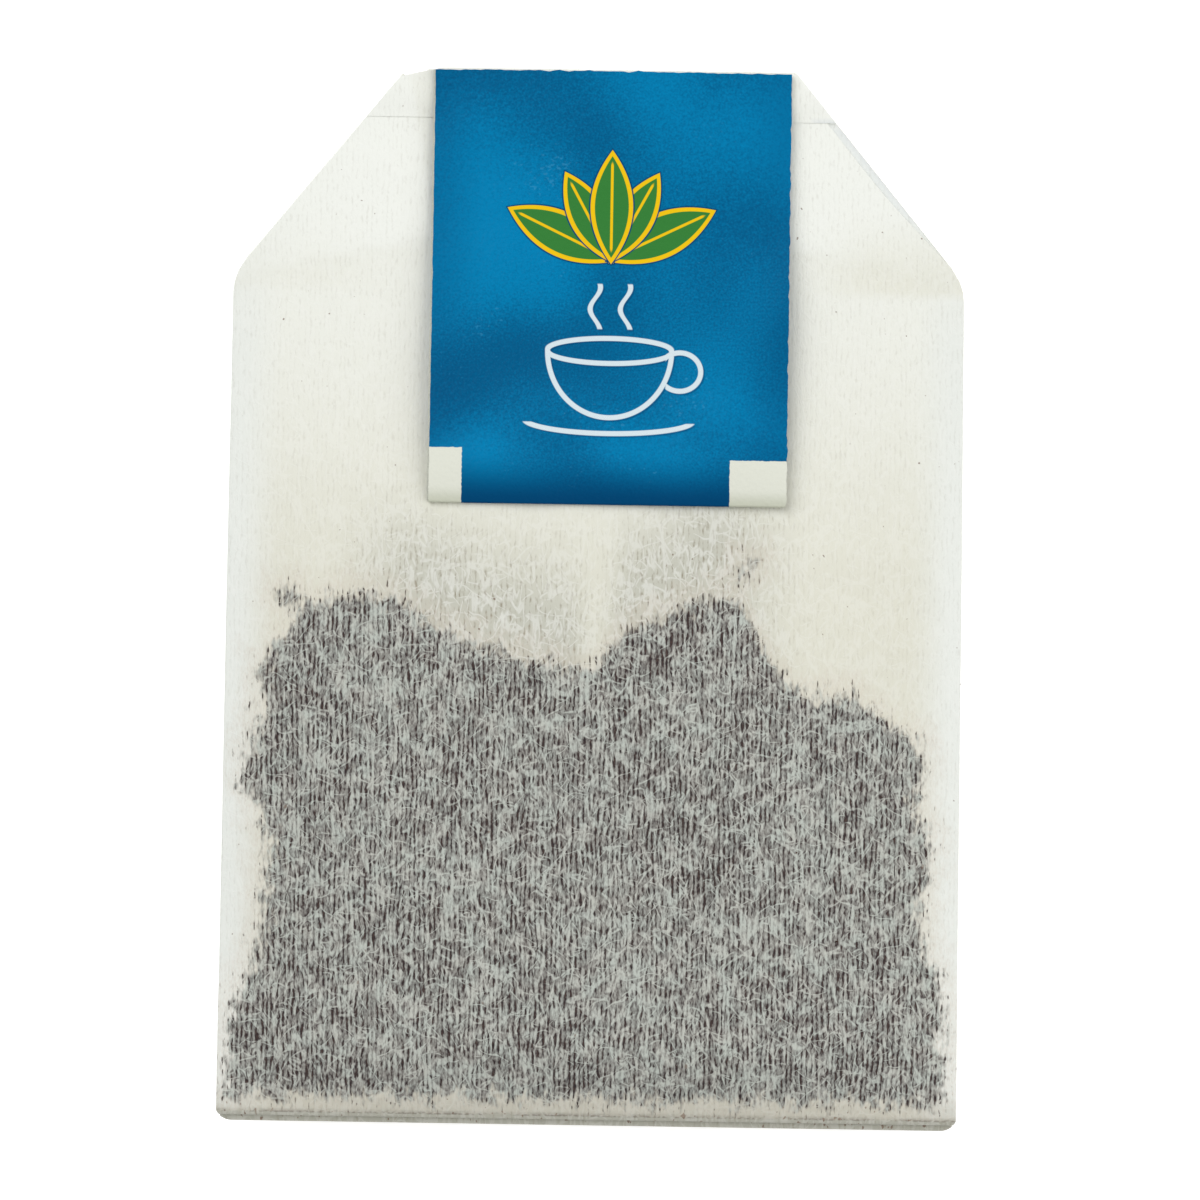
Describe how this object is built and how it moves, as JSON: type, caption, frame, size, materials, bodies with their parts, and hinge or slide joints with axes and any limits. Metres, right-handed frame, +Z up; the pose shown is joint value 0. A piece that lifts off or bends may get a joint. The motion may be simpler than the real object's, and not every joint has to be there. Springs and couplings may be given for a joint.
{
  "type": "double-chamber tea bag",
  "caption": "Double-chamber tea bag folded from one strip of filter paper, with tea in each chamber, a stapled house-shaped head and a folded paper tag laid over it.",
  "frame": {"origin": "on the surface that the bag lies on, under the middle of its width and length", "axes": "+X across the bag, +Y along it from the bottom fold to the stapled head, +Z up out of the front face that carries the tag"},
  "size_m": [0.0442, 0.0632, 0.0063],
  "materials": {
    "filter_paper": "matte",
    "tea": "matte",
    "staple_wire": "satin",
    "tag_paper": "satin"
  },
  "bodies": {
    "root": {"filter_bag": "filter_paper", "front_tea": "tea", "rear_tea": "tea", "head_staple": "staple_wire", "tag": "tag_paper"}
  },
  "joints": []
}
